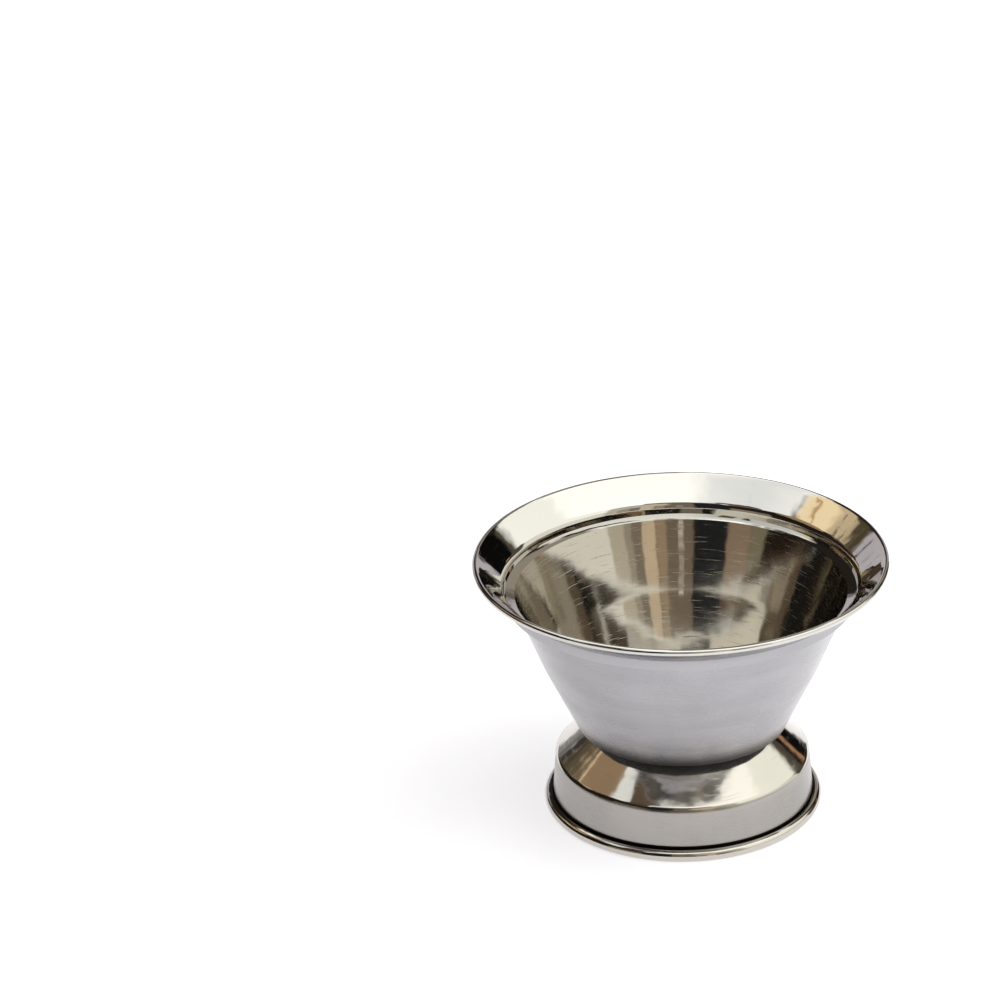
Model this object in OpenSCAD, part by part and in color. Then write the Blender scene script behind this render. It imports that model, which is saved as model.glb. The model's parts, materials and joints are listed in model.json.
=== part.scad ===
// Footed shaving bowl: a bowl drawn from thin stainless sheet, with a flared collar and a rolled rim,
// welded to a separate drawn foot with a rolled bead round its base.
// Both pieces are sheets of one thickness. A piece is described by the middle line of its sheet, as
// corners [radius, height, bend radius], and by the curl at its edge.

/* [Sheet] */
// Thickness of the stainless sheet
sheet_t = 0.6; // [0.5:0.05:0.8]

/* [Rim and collar] */
// Outer diameter over the rolled rim
rim_d = 100; // [95:0.5:110]
// Height from the table to the top of the rim
total_h = 65; // [62:0.5:70]
// Radius of the roll at the rim, outside
rim_roll_r = 0.8; // [0.75:0.05:1]
// How far the rim's roll turns, in degrees
rim_roll_turn = 225; // [180:5:230]
// Radius at which the flared collar starts
collar_r = 42.75; // [42:0.05:43.5]
// Depth from the top of the rim to the start of the collar
collar_depth = 6.1; // [5.5:0.1:6.5]

/* [Step below the collar] */
// Height of the steep drop below the collar
step_drop = 2.3; // [2:0.1:2.6]
// Width of the narrow ledge at the foot of the drop
ledge_w = 2.3; // [2:0.1:2.5]
// How far the ledge falls towards the wall
ledge_fall = 0.55; // [0.3:0.05:0.7]
// Bend radius in the step
step_bend_r = 0.55; // [0.5:0.05:0.65]

/* [Wall and floor of the bowl] */
// Radius at which the sloping wall would meet the floor
floor_r = 25.35; // [24:0.05:27]
// Bend radius between wall and floor
floor_bend_r = 10.5; // [9:0.5:12]
// How far the middle of the wall bellies out
wall_belly = 0.6; // [0.2:0.1:0.8]

/* [Foot] */
// Height of the foot up to its seat plate
foot_h = 21.8; // [20:0.1:24]
// Radius at which the seat plate turns down
seat_r = 20.75; // [18:0.05:22]
// Radius of the shoulder between cone and skirt
shoulder_r = 30.7; // [29.5:0.05:31]
// Height of the shoulder
shoulder_z = 12.8; // [11:0.1:14]
// Radius at which the skirt tucks in above the bead
skirt_r = 31.45; // [31:0.05:31.7]
// Height at which the skirt tucks in
tuck_z = 3.65; // [3.4:0.05:4]
// Outer diameter over the bead
bead_d = 67.8; // [67:0.1:69]
// Radius of the bead's roll, outside
bead_roll_r = 1.5; // [1.3:0.1:1.6]

/* [Welds] */
// Number of spot welds between bowl and foot
weld_count = 4; // [3:1:6]
// Diameter of a weld nugget
weld_d = 4; // [3:0.5:6]
// Radius of the circle that the welds lie on
weld_circle_r = 13; // [8:0.5:16]
// Gap that the nuggets bridge
weld_gap = 0.2; // [0.15:0.05:0.3]

/* [Hidden] */

$fn = 120;
half_t = sheet_t / 2;
arc_step = 15;                      // largest turn of one stretch of a drawn arc, in degrees
seat_bend_r = 1.5;
shoulder_bend_r = 0.8;
belly_bend_r = 200;
tuck_bend_r = 0.5;

rim_mid_r = rim_roll_r - half_t;
rim_centre = [rim_d / 2 - rim_roll_r, total_h - rim_roll_r];
collar_z = total_h - collar_depth;
step_z = collar_z - step_drop;
step_r = collar_r - 0.25;
wall_top = [step_r - ledge_w, step_z - ledge_fall];
floor_z = foot_h + weld_gap + half_t;
wall_mid = (wall_top + [floor_r, floor_z]) / 2 + wall_belly * [0.92, -0.4];

bead_mid_r = bead_roll_r - half_t;
bead_flat_a = 10;                   // half the angle that the flat under the bead takes
bead_end_a = 102;                   // where the bead's curl ends, just short of the skirt
bead_centre = [bead_d / 2 - bead_roll_r, half_t + bead_mid_r * cos(bead_flat_a)];

function unit(v) = v / norm(v);
function turned_left(v) = [-v.y, v.x];
function heading(v) = atan2(v.y, v.x);
function signed_turn(a) = a > 180 ? a - 360 : a < -180 ? a + 360 : a;

// Points of an arc round a centre, from angle a0 to angle a1
function arc_points(centre, r, a0, a1) =
    let (n = max(2, ceil(abs(a1 - a0) / arc_step)))
    [for (i = [0:n]) let (a = a0 + (a1 - a0) * i / n) centre + r * [cos(a), sin(a)]];

// A corner between two straight stretches, drawn as an arc of the given bend radius
function bend_points(before, corner, after, r) =
    let (u = unit(corner - before), v = unit(after - corner))
    let (turn = signed_turn(heading(v) - heading(u)), side = sign(turn))
    let (set_back = r * tan(abs(turn) / 2))
    let (start = corner - set_back * u, centre = start + side * r * turned_left(u))
    let (a0 = heading(start - centre))
    arc_points(centre, r, a0, a0 + turn);

// The middle line through a list of corners [radius, height, bend radius]; its two ends stay sharp
function bent_line(c) = let (last = len(c) - 1) [
    xy(c[0]),
    for (i = [1:last - 1]) each bend_points(xy(c[i - 1]), xy(c[i]), xy(c[i + 1]), c[i].z),
    xy(c[last])
];
function xy(p) = [p.x, p.y];

// Where a straight stretch from a point meets a roll smoothly, as an angle round the roll's centre.
// The roll turns left (side = 1) or right (side = -1) of the way the stretch runs.
function tangent_angle(from, centre, r, side) =
    let (to = centre - from)
    heading(to) - side * asin(r / norm(to)) - side * 90;

// The line moved sideways by d, to its left
function moved_line(line, d) = let (last = len(line) - 1) [
    for (i = [0:last])
        let (u = unit(line[min(i + 1, last)] - line[min(i, last - 1)]))
        let (v = unit(line[max(i, 1)] - line[max(i - 1, 0)]))
        let (m = unit(turned_left(u) + turned_left(v)))
        line[i] + d / (m * turned_left(u)) * m
];

// A round piece of sheet, spun from the middle line of its section
module spun_sheet(line) {
    rotate_extrude()
        polygon(concat(moved_line(line, half_t), reversed(moved_line(line, -half_t))));
}
function reversed(list) = [for (i = [len(list) - 1:-1:0]) list[i]];

// Bowl: flat floor, sloping wall, step, flared collar and rolled rim
module bowl() {
    collar_corner = [collar_r, collar_z];
    roll_start = tangent_angle(collar_corner, rim_centre, rim_mid_r, -1);
    roll = arc_points(rim_centre, rim_mid_r, roll_start, roll_start - rim_roll_turn);
    corners = [
        [0, floor_z, 0],
        [floor_r, floor_z, floor_bend_r],
        [wall_mid.x, wall_mid.y, belly_bend_r],
        [wall_top.x, wall_top.y, step_bend_r],
        [step_r, step_z, step_bend_r],
        [collar_r, collar_z, step_bend_r],
        [roll[0].x, roll[0].y, 0]
    ];
    rest_of_roll = [for (i = [1:len(roll) - 1]) roll[i]];
    color("gainsboro") spun_sheet(concat(bent_line(corners), rest_of_roll));
}

// Foot: flat seat plate, cone, shoulder, skirt, and a bead rolled outwards at its base
module foot() {
    tuck_corner = [skirt_r, tuck_z];
    roll_start = tangent_angle(tuck_corner, bead_centre, bead_mid_r, 1);
    first_part = arc_points(bead_centre, bead_mid_r, roll_start, -90 - bead_flat_a);
    last_part = arc_points(bead_centre, bead_mid_r, -90 + bead_flat_a, bead_end_a);
    corners = [
        [0, foot_h - half_t, 0],
        [seat_r, foot_h - half_t, seat_bend_r],
        [shoulder_r, shoulder_z, shoulder_bend_r],
        [skirt_r, tuck_z, tuck_bend_r],
        [first_part[0].x, first_part[0].y, 0]
    ];
    rest_of_roll = [for (i = [1:len(first_part) - 1]) first_part[i]];
    color("silver") spun_sheet(concat(bent_line(corners), rest_of_roll, last_part));
}

// Spot welds: nuggets that join the underside of the bowl's floor to the foot's seat plate
module spot_welds() {
    color("slategray")
        for (i = [0:weld_count - 1])
            rotate([0, 0, 45 + i * 360 / weld_count])
                translate([weld_circle_r, 0, foot_h])
                    cylinder(d = weld_d, h = weld_gap);
}

bowl();
foot();
spot_welds();
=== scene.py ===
# %% [markdown]
# # A footed stainless-steel shaving bowl
#
# The bowl is two pieces of thin stainless sheet. The upper one is drawn and spun to a cup with a wide
# flared collar, and its edge is rolled over so that it doesn't cut. The lower one is a hollow foot whose
# edge is rolled outwards to a bead. Four spot welds hold them together.
#
# This lesson loads the finished design as a fixed frame, then builds smoother and finer pieces in exactly
# the same places. The polished steel and the room that it mirrors are what make it look real, so most of
# the work is there.

# %% Load the frame and keep its box
import json
from math import asin, atan2, cos, hypot, pi, radians, sin, tan

import bmesh
import bpy
from mathutils import Matrix, Vector

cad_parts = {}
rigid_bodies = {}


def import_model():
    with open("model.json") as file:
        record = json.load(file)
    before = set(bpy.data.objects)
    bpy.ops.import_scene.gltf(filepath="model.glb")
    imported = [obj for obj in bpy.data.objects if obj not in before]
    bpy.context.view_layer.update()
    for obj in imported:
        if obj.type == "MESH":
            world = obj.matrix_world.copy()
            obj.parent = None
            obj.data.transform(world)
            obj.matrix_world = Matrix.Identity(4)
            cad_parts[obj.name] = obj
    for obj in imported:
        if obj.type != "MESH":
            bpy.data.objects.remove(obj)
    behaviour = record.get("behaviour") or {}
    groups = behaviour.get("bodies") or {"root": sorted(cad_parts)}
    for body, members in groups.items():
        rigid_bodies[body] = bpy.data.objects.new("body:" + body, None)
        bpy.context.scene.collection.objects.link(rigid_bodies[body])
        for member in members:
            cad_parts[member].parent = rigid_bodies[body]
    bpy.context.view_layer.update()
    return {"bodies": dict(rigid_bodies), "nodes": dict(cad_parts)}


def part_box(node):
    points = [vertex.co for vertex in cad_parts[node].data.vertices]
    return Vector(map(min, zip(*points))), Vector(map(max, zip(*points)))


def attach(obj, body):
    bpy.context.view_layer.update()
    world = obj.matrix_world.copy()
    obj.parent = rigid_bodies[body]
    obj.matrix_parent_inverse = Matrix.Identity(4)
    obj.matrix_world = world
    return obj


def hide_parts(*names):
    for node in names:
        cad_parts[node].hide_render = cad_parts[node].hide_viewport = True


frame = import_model()
body = list(frame["bodies"])[0]
print("body", body, "with nodes", sorted(frame["nodes"]))

# %% [markdown]
# ## Sizes
#
# Blender works in metres here, and the sheet is measured in millimetres, so one value turns one into the
# other. The outer sizes are read from the frame. The rest are the bend positions of the two sheets,
# always along the middle of the sheet's thickness, because that line doesn't stretch when sheet is bent.
# The two rolled edges sit a few thousandths of a millimetre inside the design's box, so that rounding
# never puts them outside it.

# %% Sizes read from the frame, and the bends
MM = 0.001
SHEET = 0.6 * MM
HALF = SHEET / 2

bowl_low, bowl_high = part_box("bowl")
foot_low, foot_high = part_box("foot")
rim_r = bowl_high.x
top_z = bowl_high.z
bead_r = foot_high.x
floor_mid_z = bowl_low.z + HALF
seat_mid_z = foot_high.z - HALF

INSIDE = 0.005 * MM
RIM_ROLL = 0.5 * MM
rim_roll_centre = (rim_r - RIM_ROLL - HALF - INSIDE, top_z - RIM_ROLL - HALF - INSIDE)
collar_start = (42.75 * MM, top_z - 6.1 * MM)
step_foot = (42.5 * MM, top_z - 8.4 * MM)
wall_top = (40.2 * MM, top_z - 8.95 * MM)
wall_foot = (25.35 * MM, floor_mid_z)

BEAD_ROLL = 1.2 * MM
bead_roll_centre = (bead_r - BEAD_ROLL - HALF - INSIDE, BEAD_ROLL + HALF + INSIDE)
seat_edge = (20.75 * MM, seat_mid_z)
shoulder = (30.7 * MM, 12.8 * MM)
skirt_foot = (31.45 * MM, 3.65 * MM)
print("in mm: rim radius", round(rim_r / MM, 2), "height", round(top_z / MM, 2),
      "bead radius", round(bead_r / MM, 2))

# %% [markdown]
# ## The camera
#
# The bowl is seen from about 26 degrees above the table and from about a metre away, through a long lens,
# so that its rings look like ellipses with hardly any perspective. The camera stands at that distance
# from the middle of the rim. Small turns about its own axes place the bowl low and to the right in the
# frame, so the lens needs no shift.

# %% Place the camera
CAMERA_DISTANCE = 1.0
CAMERA_RISE = radians(25.63)
CAMERA_YAW = radians(-2.716)
CAMERA_PITCH = radians(24.745)
CAMERA_ROLL = radians(-1.763)
CAMERA_LENS = 150.17
RIM_CENTRE_Z = 64.02 * MM


def camera_axes(yaw, pitch, roll):
    """The camera's right, up and forward directions, from its turns."""
    forward = Vector((sin(yaw) * cos(pitch), cos(yaw) * cos(pitch), -sin(pitch)))
    right = Vector((cos(yaw), -sin(yaw), 0))
    up = right.cross(forward)
    return right * cos(roll) + up * sin(roll), up * cos(roll) - right * sin(roll), forward


right, up, forward = camera_axes(CAMERA_YAW, CAMERA_PITCH, CAMERA_ROLL)
bpy.ops.object.camera_add()
camera = bpy.context.object
camera.name = "camera"
camera.data.lens = CAMERA_LENS
camera.data.clip_start = 0.05
camera.data.clip_end = 30
turned = Matrix((right, up, -forward)).transposed().to_4x4()
place = Vector((0, -cos(CAMERA_RISE), sin(CAMERA_RISE))) * CAMERA_DISTANCE + Vector((0, 0, RIM_CENTRE_Z))
camera.matrix_world = Matrix.Translation(place) @ turned
bpy.context.scene.camera = camera
print("camera at", [round(v, 3) for v in camera.location], "lens", CAMERA_LENS)

# %% [markdown]
# ## Drawing the section of a sheet
#
# A spun piece is the same all the way round, so only its half section has to be drawn. As by hand, one
# point is placed on the section and extruded from corner to corner. A roll at the edge is drawn by
# spinning the last point round the roll's centre. Each corner is then bevelled to its bend radius, long
# stretches are subdivided, and the whole line is spun once round the upright axis.

# %% Helpers for drawing a section
AROUND = 192
LONGEST_STRETCH = 1.3 * MM
CLOSE = 0.001 * MM
SMOOTH_BELOW = radians(50)


def start_line(name, point):
    """A new mesh with a single selected point, in edit mode."""
    bpy.ops.object.select_all(action="DESELECT")
    bpy.ops.mesh.primitive_plane_add(size=MM, location=(point[0], 0, point[1]))
    bpy.ops.object.transform_apply(location=True, rotation=True, scale=True)
    piece = bpy.context.object
    piece.name = name
    piece.data.name = name
    bpy.ops.object.mode_set(mode="EDIT")
    bpy.ops.mesh.select_all(action="SELECT")
    bpy.ops.mesh.merge(type="CENTER")
    return piece


def draw_to(here, there):
    """Extrudes the selected point to the next corner."""
    step = (there[0] - here[0], 0, there[1] - here[1])
    bpy.ops.mesh.extrude_vertices_move(TRANSFORM_OT_translate={"value": step})
    return there


def draw_roll(centre, turn, steps):
    """Spins the selected point round the roll's centre. A positive turn goes up from +X towards +Z."""
    bpy.ops.mesh.spin(steps=steps, angle=turn, center=(centre[0], 0, centre[1]), axis=(0, 1, 0))


def select_points(piece, wanted):
    """Selects the points of the mesh in edit mode for which wanted(place) is true, and no others."""
    mesh = bmesh.from_edit_mesh(piece.data)
    for v in mesh.verts:
        v.select_set(wanted(v.co))
    mesh.select_flush(False)
    for e in mesh.edges:
        e.select_set(e.verts[0].select and e.verts[1].select)
    bmesh.update_edit_mesh(piece.data)


def round_corner(piece, before, corner, after, bend_r, segments):
    """Bevels one corner of the line so that the sheet bends there with radius bend_r."""
    heading_in = atan2(corner[1] - before[1], corner[0] - before[0])
    heading_out = atan2(after[1] - corner[1], after[0] - corner[0])
    turn = abs((heading_out - heading_in + pi) % (2 * pi) - pi)
    place = Vector((corner[0], 0, corner[1]))
    select_points(piece, lambda co: (co - place).length < CLOSE)
    bpy.ops.mesh.bevel(offset_type="OFFSET", offset=bend_r * tan(turn / 2), segments=segments,
                       profile=0.5, affect="VERTICES")


def shorten_stretches(piece):
    """Halves every stretch of the line that is longer than LONGEST_STRETCH, until none is."""
    while True:
        mesh = bmesh.from_edit_mesh(piece.data)
        bpy.ops.mesh.select_all(action="DESELECT")
        long_ones = [e for e in mesh.edges if e.calc_length() > LONGEST_STRETCH]
        if not long_ones:
            return
        for e in long_ones:
            e.select_set(True)
        bmesh.update_edit_mesh(piece.data)
        bpy.ops.mesh.subdivide(number_cuts=1)


def spin_round(piece):
    """Spins the whole line once round the upright axis and closes the seam and the middle."""
    bpy.ops.mesh.select_all(action="SELECT")
    bpy.ops.mesh.spin(steps=AROUND, angle=2 * pi, center=(0, 0, 0), axis=(0, 0, 1))
    bpy.ops.mesh.select_all(action="SELECT")
    bpy.ops.mesh.remove_doubles(threshold=CLOSE)
    bpy.ops.mesh.normals_make_consistent(inside=False)
    bpy.ops.object.mode_set(mode="OBJECT")


def give_thickness(piece):
    """Turns the thin surface into a sheet: half its thickness to each side."""
    wall = piece.modifiers.new("sheet", "SOLIDIFY")
    wall.thickness = SHEET
    wall.offset = 0
    wall.use_even_offset = True
    bpy.ops.object.modifier_apply(modifier=wall.name)
    bpy.ops.object.shade_smooth_by_angle(angle=SMOOTH_BELOW)


def tangent_angle(point, centre, r, side):
    """Where a straight stretch from a point meets a roll smoothly, as an angle round the roll's centre."""
    across, rise = centre[0] - point[0], centre[1] - point[1]
    return atan2(rise, across) - side * asin(r / hypot(across, rise)) - side * pi / 2


def on_roll(centre, r, angle):
    """The point of a roll at an angle round its centre."""
    return centre[0] + r * cos(angle), centre[1] + r * sin(angle)


# %% [markdown]
# ## The bowl
#
# The real bowl starts as a flat disc. A press draws the cup, a second tool sets the narrow step under the
# collar, and the rim is rolled last. The step is there so that the thin wall stays round. The section is
# drawn in the same order: floor, wall, step, collar and roll. The middle of the wall bellies out by about
# half a millimetre, which a press leaves in every such wall.

# %% Draw the bowl's section
WALL_BELLY = 0.6 * MM
ACROSS_WALL = (0.92, -0.4)
wall_middle = ((wall_top[0] + wall_foot[0]) / 2 + ACROSS_WALL[0] * WALL_BELLY,
               (wall_top[1] + wall_foot[1]) / 2 + ACROSS_WALL[1] * WALL_BELLY)
rim_start_angle = tangent_angle(collar_start, rim_roll_centre, RIM_ROLL, -1)
rim_start = on_roll(rim_roll_centre, RIM_ROLL, rim_start_angle)
RIM_TURN = radians(225)

bowl = start_line("bowl_sheet", (0, floor_mid_z))
bowl_corners = [(0, floor_mid_z), wall_foot, wall_middle, wall_top, step_foot, collar_start, rim_start]
here = bowl_corners[0]
for corner in bowl_corners[1:]:
    here = draw_to(here, corner)
draw_roll(rim_roll_centre, -RIM_TURN, steps=20)

# The bends: wall to floor, belly of the wall, and the three bends of the step
bend_radii = [10.5 * MM, 200 * MM, 0.55 * MM, 0.55 * MM, 0.55 * MM]
bend_segments = [20, 10, 6, 6, 6]
for i, (bend, segments) in enumerate(zip(bend_radii, bend_segments), start=1):
    round_corner(bowl, bowl_corners[i - 1], bowl_corners[i], bowl_corners[i + 1], bend, segments)
shorten_stretches(bowl)
print("bowl section has", len(bmesh.from_edit_mesh(bowl.data).verts), "points")

# %% Spin the bowl and give it the sheet's thickness
spin_round(bowl)
give_thickness(bowl)
print("bowl:", len(bowl.data.polygons), "faces, box", [round(v / MM, 2) for v in bowl.dimensions])

# %% [markdown]
# ## The foot
#
# The foot is a second drawn cup, upside down. Its flat top is the seat that the bowl is welded to. Below
# the shoulder the skirt widens slightly, so that it comes off the press tool. At the base the sheet tucks
# in a little and is rolled outwards to a hollow bead. The bead's edge stops just short of the skirt, which
# leaves the thin black line that shows all the way round; a near-black painted shade on the groove's faces
# darkens it further.

# %% Draw the foot's section
bead_start_angle = tangent_angle(skirt_foot, bead_roll_centre, BEAD_ROLL, 1)
bead_start = on_roll(bead_roll_centre, BEAD_ROLL, bead_start_angle)
BEAD_END = radians(102)
bead_turn = BEAD_END + 2 * pi - bead_start_angle

foot = start_line("foot_sheet", (0, seat_mid_z))
foot_corners = [(0, seat_mid_z), seat_edge, shoulder, skirt_foot, bead_start]
here = foot_corners[0]
for corner in foot_corners[1:]:
    here = draw_to(here, corner)
draw_roll(bead_roll_centre, bead_turn, steps=40)

# The bends: seat to cone, shoulder, and the tuck above the bead
bend_radii = [1.5 * MM, 0.8 * MM, 0.5 * MM]
bend_segments = [8, 8, 6]
for i, (bend, segments) in enumerate(zip(bend_radii, bend_segments), start=1):
    round_corner(foot, foot_corners[i - 1], foot_corners[i], foot_corners[i + 1], bend, segments)
shorten_stretches(foot)
print("foot section has", len(bmesh.from_edit_mesh(foot.data).verts), "points")

# %% Spin the foot and give it the sheet's thickness
spin_round(foot)
give_thickness(foot)
print("foot:", len(foot.data.polygons), "faces, box", [round(v / MM, 2) for v in foot.dimensions])

# %% [markdown]
# ## The spot welds
#
# Between the floor of the bowl and the seat of the foot sit four nuggets, where a press electrode has
# melted the two sheets together. They can only be glimpsed from the side, through a gap as thin as
# paper. One nugget is modelled as a low disc with a bulging edge and copied round the circle, each copy
# with its own mesh, and the four are joined.

# %% Model one nugget and copy it round
WELDS = 4
WELD_CIRCLE = 13 * MM
WELD_R = 2 * MM
WELD_BULGE = 0.06 * MM
weld_low, weld_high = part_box("spot_welds")
weld_depth = weld_high.z - weld_low.z
WELD_ANGLES = [radians(45) + i * 2 * pi / WELDS for i in range(WELDS)]

bpy.ops.object.select_all(action="DESELECT")
bpy.ops.mesh.primitive_cylinder_add(vertices=48, radius=WELD_R, depth=weld_depth,
                                    location=(0, 0, (weld_low.z + weld_high.z) / 2))
nugget = bpy.context.object
bpy.ops.object.mode_set(mode="EDIT")
bpy.ops.mesh.select_all(action="SELECT")
bpy.ops.mesh.bevel(offset=WELD_BULGE, segments=3, affect="EDGES")
bpy.ops.mesh.select_all(action="DESELECT")
bpy.ops.object.mode_set(mode="OBJECT")
bpy.ops.object.shade_smooth_by_angle(angle=radians(40))

nuggets = [nugget]
for angle in WELD_ANGLES[1:]:
    copy = nugget.copy()
    copy.data = nugget.data.copy()
    bpy.context.scene.collection.objects.link(copy)
    nuggets.append(copy)
for piece, angle in zip(nuggets, WELD_ANGLES):
    piece.location = (WELD_CIRCLE * cos(angle), WELD_CIRCLE * sin(angle), piece.location.z)
    piece.select_set(True)
bpy.context.view_layer.objects.active = nugget
bpy.ops.object.join()
bpy.ops.object.transform_apply(location=True, rotation=True, scale=True)
welds = bpy.context.object
welds.name = welds.data.name = "weld_nuggets"
print("welds:", len(welds.data.polygons), "faces, height", round(welds.dimensions.z / MM, 2), "mm")

# %% [markdown]
# ## Materials: helpers
#
# Colours are written as on a paint card, in sRGB hex, and turned to the linear light that the renderer
# works in. Every pattern on a spun piece follows the lathe: it is long around the axis and short across
# it. So the pattern needs to know where it is around the axis and how far it is along the section.

# %% Helpers for colours and nodes
TYPICAL_RADIUS = 30


def linear(hex_colour):
    """A linear RGBA colour from an sRGB hex string."""
    parts = [int(hex_colour[i:i + 2], 16) / 255 for i in (1, 3, 5)]
    return [p / 12.92 if p <= 0.04045 else ((p + 0.055) / 1.055) ** 2.4 for p in parts] + [1.0]


def add(tree, kind, inputs=None, **settings):
    """Adds a node, sets its settings, and links or sets its inputs. Gives the node."""
    node = tree.nodes.new(kind)
    for name, value in settings.items():
        setattr(node, name, value)
    for name, value in (inputs or {}).items():
        if isinstance(value, bpy.types.NodeSocket):
            tree.links.new(value, node.inputs[name])
        else:
            node.inputs[name].default_value = value
    return node


def new_material(name):
    """An empty material, its tree and its shader."""
    material = bpy.data.materials.new(name)
    material.use_nodes = True
    tree = material.node_tree
    tree.nodes.clear()
    shader = add(tree, "ShaderNodeBsdfPrincipled")
    add(tree, "ShaderNodeOutputMaterial", {"Surface": shader.outputs["BSDF"]})
    return material, tree, shader


def lathe_coordinates(tree, around, across):
    """A pattern place for spun metal: around is the pattern's scale round the axis, and across its scale
    along the section, both per millimetre. Gives the pattern's place and the piece's own place."""
    place = add(tree, "ShaderNodeTexCoord").outputs["Object"]
    split = add(tree, "ShaderNodeSeparateXYZ", {0: place})
    flat = add(tree, "ShaderNodeCombineXYZ", {0: split.outputs["X"], 1: split.outputs["Y"]})
    radius = add(tree, "ShaderNodeVectorMath", {0: flat.outputs[0]}, operation="LENGTH").outputs["Value"]
    direction = add(tree, "ShaderNodeVectorMath", {0: flat.outputs[0]}, operation="NORMALIZE").outputs[0]
    along = add(tree, "ShaderNodeMath", {0: radius, 1: split.outputs["Z"]}, operation="ADD").outputs[0]
    ring = add(tree, "ShaderNodeVectorMath", {0: direction, "Scale": around * TYPICAL_RADIUS},
               operation="SCALE").outputs[0]
    lift = add(tree, "ShaderNodeMath", {0: along, 1: across / MM}, operation="MULTIPLY").outputs[0]
    up_only = add(tree, "ShaderNodeCombineXYZ", {2: lift}).outputs[0]
    return add(tree, "ShaderNodeVectorMath", {0: ring, 1: up_only}, operation="ADD").outputs[0], place


# %% [markdown]
# ## Stainless steel, finished in eight ways
#
# All of it is the same metal, an 18/10 stainless steel, so one function makes it and only the finish
# changes. What the eye reads as the finish comes from four things:
#
# - how rough the surface is, and whether it is rougher one way, as where a polishing wheel has followed
#   the lathe;
# - fine lines round the axis, which the wheel leaves;
# - a slow waviness that the press leaves, which bends the edges of what is mirrored;
# - hairline scratches and cloudy patches from washing and use.
#
# Real hairlines are a few hundredths of a millimetre wide. Here they are drawn several times as wide, so
# that they show at all. They run mostly round the axis, the way a brush turns in the bowl.

# %% The function that makes stainless steel
SCRATCH_TURNS = ((0.35, 0.1, 0.5), (-0.3, 0.45, 1.7), (0.15, -0.55, 2.6), (1.1, 0.8, -0.6))
SCRATCH_SCALE = (1 / (8 * MM), 1 / (8 * MM), 1 / (0.3 * MM))
SCRATCH_DEPTH = 0.003 * MM
CLOUD_SIZE = 14 * MM
LINE_CONTRAST = 0.15
# How dark the painted shade makes the colour where it is darkest.
DARKEST_PAINTED_SHADE = 0.16
ALONG_THE_SECTION = 0.25


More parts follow.
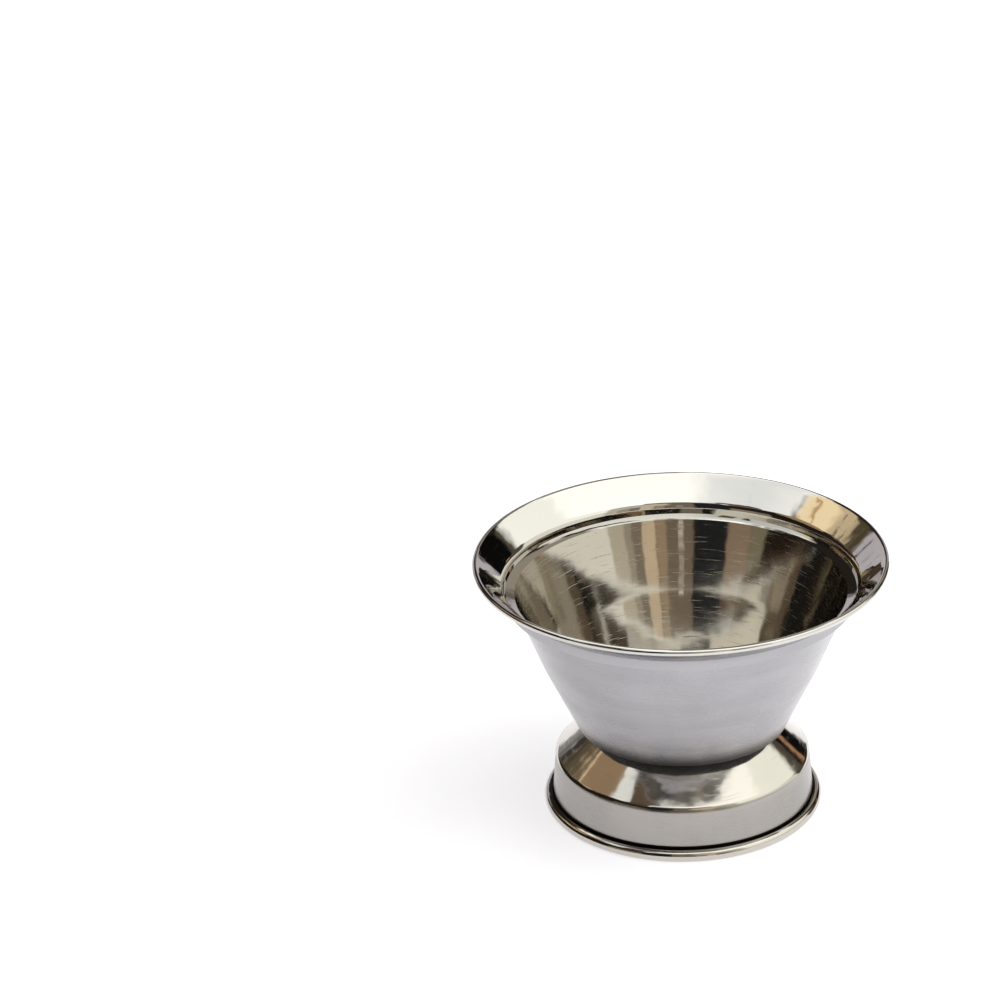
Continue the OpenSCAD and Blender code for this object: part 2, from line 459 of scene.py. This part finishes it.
def stainless(name, colour, roughness, grain, line_depth, wave_depth, wave_size, hairlines, clouding,
              painted_shade_heights=None):
    """Stainless steel. Depths and sizes are in millimetres; grain is how much rougher it is across the
    lathe's lines than along them; hairlines and clouding go from 0 to 1. The last argument gives the
    height where painted shade starts to darken the metal, and the height where it is darkest."""
    material, tree, shader = new_material(name)
    lines_at, place = lathe_coordinates(tree, around=0.05, across=2.6)
    lines = add(tree, "ShaderNodeTexNoise", {"Vector": lines_at, "Scale": 1.0, "Detail": 4.0,
                                             "Roughness": 0.65}).outputs["Fac"]
    waves = add(tree, "ShaderNodeTexNoise", {"Vector": place, "Scale": 1 / (wave_size * MM), "Detail": 2.0,
                                             "Roughness": 0.4}).outputs["Fac"]
    clouds = add(tree, "ShaderNodeTexNoise", {"Vector": place, "Scale": 1 / CLOUD_SIZE, "Detail": 4.0,
                                              "Roughness": 0.55}).outputs["Fac"]

    scratch = add(tree, "ShaderNodeMapRange", {"Value": lines, "From Min": 0.66, "From Max": 0.72}).outputs[0]
    for turn in SCRATCH_TURNS:
        turned_place = add(tree, "ShaderNodeMapping", {"Vector": place, "Rotation": turn,
                                                       "Scale": SCRATCH_SCALE})
        fine = add(tree, "ShaderNodeTexNoise", {"Vector": turned_place.outputs[0], "Scale": 1.0,
                                                "Detail": 1.0}).outputs["Fac"]
        line = add(tree, "ShaderNodeMapRange", {"Value": fine, "From Min": 0.7, "From Max": 0.76}).outputs[0]
        scratch = add(tree, "ShaderNodeMath", {0: scratch, 1: line}, operation="MAXIMUM").outputs[0]

    dull = add(tree, "ShaderNodeMapRange", {"Value": clouds, "From Min": 0.45, "From Max": 0.7,
                                            "To Min": 0.0, "To Max": 0.1 * clouding}).outputs[0]
    lined = add(tree, "ShaderNodeMapRange", {"Value": lines, "From Min": 0.3, "From Max": 0.7,
                                             "To Min": (1 - LINE_CONTRAST) * roughness,
                                             "To Max": (1 + LINE_CONTRAST) * roughness}).outputs[0]
    rough = add(tree, "ShaderNodeMath", {0: dull, 1: lined}, operation="ADD").outputs[0]
    extra = add(tree, "ShaderNodeMath", {0: scratch, 1: 0.3 * hairlines}, operation="MULTIPLY").outputs[0]
    rough = add(tree, "ShaderNodeMath", {0: rough, 1: extra}, operation="ADD").outputs[0]

    stains_and_painted_shade = add(tree, "ShaderNodeMapRange", {"Value": clouds, "From Min": 0.3, "From Max": 0.75,
                                             "To Min": 1.0, "To Max": 1.0 - 0.12 * clouding}).outputs[0]
    bands_at, _ = lathe_coordinates(tree, around=0.03, across=0.11)
    bands = add(tree, "ShaderNodeTexNoise", {"Vector": bands_at, "Scale": 1.0, "Detail": 1.5}).outputs["Fac"]
    band = add(tree, "ShaderNodeMapRange", {"Value": bands, "From Min": 0.3, "From Max": 0.7,
                                            "To Min": 1.0 - 0.22 * clouding, "To Max": 1.0}).outputs[0]
    stains_and_painted_shade = add(tree, "ShaderNodeMath", {0: stains_and_painted_shade, 1: band}, operation="MULTIPLY").outputs[0]
    # Painted shade: the colour darkens over a band of heights, towards where the cup and the foot meet.
    if painted_shade_heights:
        upright = add(tree, "ShaderNodeSeparateXYZ", {0: place}).outputs["Z"]
        painted_shade_factor = add(tree, "ShaderNodeMapRange", {"Value": upright, "From Min": painted_shade_heights[1] * MM,
                                                 "From Max": painted_shade_heights[0] * MM, "To Min": DARKEST_PAINTED_SHADE,
                                                 "To Max": 1.0}, interpolation_type="SMOOTHSTEP").outputs[0]
        stains_and_painted_shade = add(tree, "ShaderNodeMath", {0: stains_and_painted_shade, 1: painted_shade_factor}, operation="MULTIPLY").outputs[0]
    tinted = add(tree, "ShaderNodeVectorMath", {0: linear(colour)[:3], "Scale": stains_and_painted_shade},
                 operation="SCALE").outputs[0]

    wavy = add(tree, "ShaderNodeBump", {"Height": waves, "Strength": 1.0, "Distance": wave_depth * MM})
    spun = add(tree, "ShaderNodeBump", {"Height": lines, "Strength": 1.0, "Distance": line_depth * MM,
                                        "Normal": wavy.outputs[0]})
    cut = add(tree, "ShaderNodeBump", {"Height": scratch, "Strength": 1.0,
                                       "Distance": SCRATCH_DEPTH * hairlines,
                                       "Normal": spun.outputs[0]}, invert=True)
    wires = {"Base Color": tinted, "Roughness": rough, "Normal": cut.outputs[0]}
    for socket, source in wires.items():
        tree.links.new(source, shader.inputs[socket])
    shader.inputs["Metallic"].default_value = 1.0
    if grain:
        ring_way = add(tree, "ShaderNodeTangent", direction_type="RADIAL", axis="Z").outputs[0]
        tree.links.new(ring_way, shader.inputs["Tangent"])
        shader.inputs["Anisotropic"].default_value = grain
        shader.inputs["Anisotropic Rotation"].default_value = ALONG_THE_SECTION
    return material


# %% The finishes
# Collar and rim: buffed to a mirror, so the eye gets sharp edges of the room, bent by slow waves.
collar_steel = stainless("mirror_buffed_stainless_steel", "#D0CECA", 0.04, 0.0, 0.0002, 0.14, 8, 0.2, 0.15)
# Inside of the cup: spun against a wheel, so each mirrored shape is drawn out up and down the wall.
inside_steel = stainless("satin_spun_stainless_steel_inside", "#C8C3BA", 0.08, 0.75, 0.0003, 0.12, 9,
                         hairlines=0.8, clouding=0.25)
# Outside of the cup: satin, so the pale table shows as one soft sheen, with painted shade that darkens it in
# the corner below.
outside_steel = stainless("satin_spun_stainless_steel_outside", "#B3B2B5", 0.25, 0.4, 0.0001, 0.1, 18,
                          hairlines=0.05, clouding=0.6, painted_shade_heights=(27, 22))
# Under the collar: hardly reached by the wheel, between satin and polished.
under_steel = stainless("buffed_stainless_steel_under_the_collar", "#AEADB0", 0.17, 0.3, 0.0002, 0.1, 12,
                        hairlines=0.1, clouding=0.4)
# Cone and bead of the foot: buffed, a little softer than the collar, with painted shade that darkens it close
# to the cup.
foot_steel = stainless("buffed_stainless_steel_foot", "#CAC6BF", 0.085, 0.4, 0.0003, 0.14, 7, 0.4, 0.3,
                       painted_shade_heights=(19, 21.5))
# Skirt: satin and slightly warm, which gives the eye a calm grey band between two bright ones.
skirt_steel = stainless("satin_stainless_steel_skirt", "#ACA8A4", 0.24, 0.3, 0.0002, 0.08, 12, 0.12, 0.5)
# Underside and welds: as the press left them, dull and cloudy.
drawn_steel = stainless("as_drawn_stainless_steel", "#A19D98", 0.36, 0.2, 0.001, 0.1, 10, 0.3, 1.0)
# Groove above the bead: near-black steel, a painted shade that gives the thin black line.
groove_painted_shade_steel = stainless("painted_shade_steel_groove", "#26221E", 0.5, 0.0, 0.0002, 0.03, 6, 0.2, 0.8)
print("finishes:", [m.name for m in bpy.data.materials if "steel" in m.name])


# %% [markdown]
# ## Giving each zone its finish
#
# Faces are picked by where they are and which way they look, and the finish is assigned to the picked
# ones, as it would be by hand in edit mode.

# %% Assign the finishes
def finish_faces(piece, material, wanted):
    """Assigns a material to the faces for which wanted(radius, height, outward, upward) is true."""
    piece.data.materials.append(material)
    slot = len(piece.data.materials) - 1
    count = 0
    for face in piece.data.polygons:
        c, n = face.center, face.normal
        r = hypot(c.x, c.y)
        outward = (c.x * n.x + c.y * n.y) / max(r, CLOSE)
        if wanted(r, c.z, outward, n.z):
            face.material_index = slot
            count += 1
    print(piece.name, material.name, count, "faces")


# The groove reaches from above the tuck to just past the bead's rolled edge, and its faces get the near-black
# painted shade
groove_top = skirt_foot[1] + 0.35 * MM
groove_r = bead_roll_centre[0] - 0.17 * MM
finish_faces(bowl, outside_steel, lambda r, z, out, up: True)
finish_faces(bowl, under_steel, lambda r, z, out, up: z > wall_top[1] and up < out)
finish_faces(bowl, inside_steel, lambda r, z, out, up: up > out and r < wall_top[0])
finish_faces(bowl, collar_steel,
             lambda r, z, out, up: (up > out or r > rim_roll_centre[0]) and r > wall_top[0])
finish_faces(foot, foot_steel, lambda r, z, out, up: True)
finish_faces(foot, skirt_steel, lambda r, z, out, up: out > 0.9 and skirt_foot[1] < z < shoulder[1])
finish_faces(foot, drawn_steel, lambda r, z, out, up: up + out < 0 and z > bead_roll_centre[1])
finish_faces(foot, groove_painted_shade_steel,
             lambda r, z, out, up: bead_roll_centre[1] < z < groove_top and r < groove_r)
welds.data.materials.append(drawn_steel)

# %% [markdown]
# ## What the steel mirrors
#
# Polished steel has hardly any colour of its own. It shows the room. So the room is painted on the world,
# as soft patches by direction: a bright ceiling, a wide window on one side, a cream wall on the other, and
# the darker room and the person behind the camera. Each patch has a direction (azimuth from the back
# towards the right, and elevation), a width and a height in degrees, and a colour.

# %% Paint the room
ROOM = [
    # name, azimuth, elevation, width, height, soft edge, colour, brightness
    ("back_wall", -6, 3, 76, 36, 4, "#CEC8CB", 1.0),
    ("skirting_far_left", -25, 0, 5, 6, 1, "#ADADAF", 1.0),
    ("skirting_left", -30, 1, 5, 11, 1, "#9D9A9D", 1.0),
    ("chair_left", -35, 3.5, 5, 15, 1, "#847F7E", 1.0),
    ("bin_left", -43, 6, 11, 20, 1, "#423C34", 1.0),
    ("back_shelf", 17, 35, 26, 24, 5, "#A89E90", 1.0),
    ("skirting_right", 25, -1, 8, 5, 1, "#141414", 1.0),
    ("dark_corner", 36, 11.5, 17, 21, 2, "#0E0E0E", 1.0),
    ("copper_lamp", 41, 13, 5, 4, 1, "#C89A78", 1.0),
    ("brown_post", 53, 5, 15, 40, 2, "#5C5448", 1.0),
    ("window_low", 96, 2, 70, 48, 4, "#FAF8EC", 1.1),
    ("window_high", 90, 38, 86, 26, 4, "#FAFAF0", 1.5),
    ("right_front", 137, 15, 14, 60, 3, "#D6CEB8", 1.0),
    ("right_edge", 144, 15, 7, 60, 2, "#B2A998", 1.0),
    ("door_shadow", 149.5, 20, 7, 60, 2, "#918676", 1.0),
    ("door_frame", 158, 15, 10, 66, 1.5, "#E7D2B3", 1.0),
    ("brown_door", 167, 15, 8, 66, 3, "#B09B80", 1.0),
    ("front_room", 180, 15, 20, 66, 3, "#857767", 1.0),
    ("right_upper", 150, 36, 44, 16, 6, "#D8D2C4", 1.0),
    ("lamp_glow", -179.5, 19.9, 4, 2.6, 1, "#F2ECE0", 1.1),
    ("person", -158, 14, 22, 54, 2, "#26282A", 1.0),
    ("tan_curtain", -138, 2, 18, 40, 3, "#A18C76", 1.0),
    ("pale_curtain", -124, 2, 12, 40, 4, "#8E866F", 1.0),
    ("dark_shelf", -97, 8, 42, 72, 3, "#281E18", 1.0),
    ("cream_wall", -69, 40, 24, 18, 4, "#FBE4B8", 1.35),
    ("brown_picture", -73, 43, 2, 5, 1.5, "#DDB284", 1.0),
    ("cream_shade", -56, 31, 12, 16, 5, "#E6D0A8", 1.0),
    ("brown_rail", -46, 22, 7, 14, 3, "#5C4E3A", 1.0),
    ("rail_shadow", -50, 21, 6, 7, 1, "#6A6151", 1.0),
    ("rail_end", -55, 24, 5, 8, 1, "#71614F", 1.0),
    ("rail_top", -60, 28, 5, 8, 1, "#86745F", 1.0),
]
CEILING_FROM = 47
CEILING = ("#FDFDF6", 1.75)
OVERHEAD = [
    ("grey_ceiling", -100, 60, 120, 28, 30, "#E6E8E8", 1.45),
    ("dark_beam", 30, 63, 64, 24, 8, "#443E38", 1.0),
    ("beam_left", -127, 53.5, 28, 12, 3, "#443E38", 1.0),
    ("dark_lintel", -178, 49, 62, 11, 4, "#6E6254", 1.0),
]
UNPAINTED = ("#2A2622", 1.0)

world = bpy.data.worlds.new("room")
bpy.context.scene.world = world
world.use_nodes = True
sky = world.node_tree
sky.nodes.clear()
look = add(sky, "ShaderNodeTexCoord").outputs["Generated"]
look_z = add(sky, "ShaderNodeSeparateXYZ", {0: look}).outputs["Z"]
height = add(sky, "ShaderNodeMath", {0: look_z}, operation="ARCSINE").outputs[0]


def lit(colour, brightness):
    """The light that a patch of the room gives, from its colour and how brightly it's lit."""
    return [c * brightness for c in linear(colour)[:3]] + [1.0]


def edge_mask(tree, offset, half_width, soft):
    """1 inside half_width of the middle, falling to 0 over the soft edge."""
    size = add(tree, "ShaderNodeMath", {0: offset}, operation="ABSOLUTE").outputs[0]
    return add(tree, "ShaderNodeMapRange", {"Value": size, "From Min": radians(half_width - soft / 2),
                                            "From Max": radians(half_width + soft / 2), "To Min": 1.0,
                                            "To Max": 0.0}, interpolation_type="SMOOTHSTEP").outputs[0]


def over(tree, below, above, mask):
    """Lays one colour over another where the mask is 1."""
    mix = add(tree, "ShaderNodeMix", {"Factor": mask}, data_type="RGBA")
    for socket, value in ((6, below), (7, above)):
        if isinstance(value, bpy.types.NodeSocket):
            tree.links.new(value, mix.inputs[socket])
        else:
            mix.inputs[socket].default_value = value
    return mix.outputs[2]


def patch_mask(azimuth, elevation, width, tall, soft):
    """1 inside a patch of the room, falling to 0 over its soft edge. All in degrees."""
    turned_look = add(sky, "ShaderNodeVectorRotate", {"Vector": look, "Angle": radians(azimuth)},
                      rotation_type="Z_AXIS").outputs[0]
    split = add(sky, "ShaderNodeSeparateXYZ", {0: turned_look})
    aside = add(sky, "ShaderNodeMath", {0: split.outputs["X"], 1: split.outputs["Y"]},
                operation="ARCTAN2").outputs[0]
    rise = add(sky, "ShaderNodeMath", {0: height, 1: radians(elevation)}, operation="SUBTRACT").outputs[0]
    return add(sky, "ShaderNodeMath", {0: edge_mask(sky, aside, width / 2, soft),
                                       1: edge_mask(sky, rise, tall / 2, soft)},
               operation="MULTIPLY").outputs[0]


def paint(colour, patches):
    """Lays the patches over a plain colour, one after the other."""
    for _, azimuth, elevation, width, tall, soft, tint, brightness in patches:
        colour = over(sky, colour, lit(tint, brightness), patch_mask(azimuth, elevation, width, tall, soft))
    return colour


ceiling = add(sky, "ShaderNodeMapRange", {"Value": height, "From Min": radians(CEILING_FROM - 2),
                                          "From Max": radians(CEILING_FROM + 3)},
              interpolation_type="SMOOTHSTEP").outputs[0]
room = over(sky, paint(lit(*UNPAINTED), ROOM), paint(lit(*CEILING), OVERHEAD), ceiling)
background = add(sky, "ShaderNodeBackground", {"Color": room, "Strength": 1.0})
add(sky, "ShaderNodeOutputWorld", {"Surface": background.outputs[0]})
bpy.context.scene.view_settings.view_transform = "Standard"
print("room painted with", len(ROOM), "patches")

# %% [markdown]
# ## The table
#
# A plain pale table, large enough to fill the view and to be mirrored in the outer wall. Its surface
# glows as painted light, so that it stays white near the bowl and shows hardly any shadow. It glows more
# on the window side, painted light which makes the outer wall go from darker on the left to brighter on
# the right. Two matt cards hang out of view to the left, and put the tan and the dark brown patches on the
# foot.

# %% Lay the table
TABLE_SIZE = 12
GLOW_CHANGES_OVER = 60 * MM
bpy.ops.object.select_all(action="DESELECT")
bpy.ops.mesh.primitive_plane_add(size=TABLE_SIZE, location=(0, 0, 0))
table = bpy.context.object
table.name = "table"
table_paint, tree, shader = new_material("white_table_painted_glow")
shader.inputs["Base Color"].default_value = linear("#E4E4EA")
shader.inputs["Roughness"].default_value = 0.9
# Painted light: the table's surface glows, more on the right than on the left.
shader.inputs["Emission Color"].default_value = linear("#FCFCFF")
table_place = add(tree, "ShaderNodeTexCoord").outputs["Object"]
from_left = add(tree, "ShaderNodeSeparateXYZ", {0: table_place}).outputs["X"]
glow = add(tree, "ShaderNodeMapRange", {"Value": from_left, "From Min": -GLOW_CHANGES_OVER,
                                        "From Max": GLOW_CHANGES_OVER,
                                        "To Min": 0.56, "To Max": 0.72}).outputs[0]
tree.links.new(glow, shader.inputs["Emission Strength"])
table.data.materials.append(table_paint)
print("table laid,", TABLE_SIZE, "m wide")

# %% Hang the cards
CARDS = [
    # name, where it starts and ends as azimuth and elevation seen from the foot, distance, width, colour
    ("tan_card", (-62, 33), (-94, 52.5), 0.42, 0.13, "#A08769"),
    ("dark_brown_card", (-109, 58), (-148, 66.5), 0.53, 0.11, "#5E4D3B"),
]
SEEN_FROM = Vector((-0.014, -0.022, 0.017))


def direction(azimuth, elevation):
    """A direction from an azimuth and an elevation in degrees."""
    azimuth, elevation = radians(azimuth), radians(elevation)
    return Vector((sin(azimuth) * cos(elevation), cos(azimuth) * cos(elevation), sin(elevation)))


for name, start, end, distance, width, tint in CARDS:
    first, last = direction(*start) * distance, direction(*end) * distance
    along = (last - first).normalized()
    facing = -(first + last).normalized()
    turned = Matrix((along, facing.cross(along), facing)).transposed()
    bpy.ops.mesh.primitive_circle_add(vertices=48, radius=0.5, fill_type="NGON",
                                      location=SEEN_FROM + (first + last) / 2, rotation=turned.to_euler())
    card = bpy.context.object
    card.name = name
    card.scale = ((last - first).length, width, 1)
    card_paper, tree, shader = new_material("matt_" + name)
    shader.inputs["Base Color"].default_value = linear(tint)
    shader.inputs["Roughness"].default_value = 0.9
    card.data.materials.append(card_paper)
print(len(CARDS), "cards hung")

# %% [markdown]
# ## Put the pieces on the frame
#
# The bowl doesn't move, so every piece rides on the one body. Each stands for the design's own solid.

# %% Ride and replace
for piece, node, slot in ((bowl, "bowl", "bowl_steel"), (foot, "foot", "foot_steel"),
                          (welds, "spot_welds", "weld_steel")):
    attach(piece, body)
    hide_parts(node)
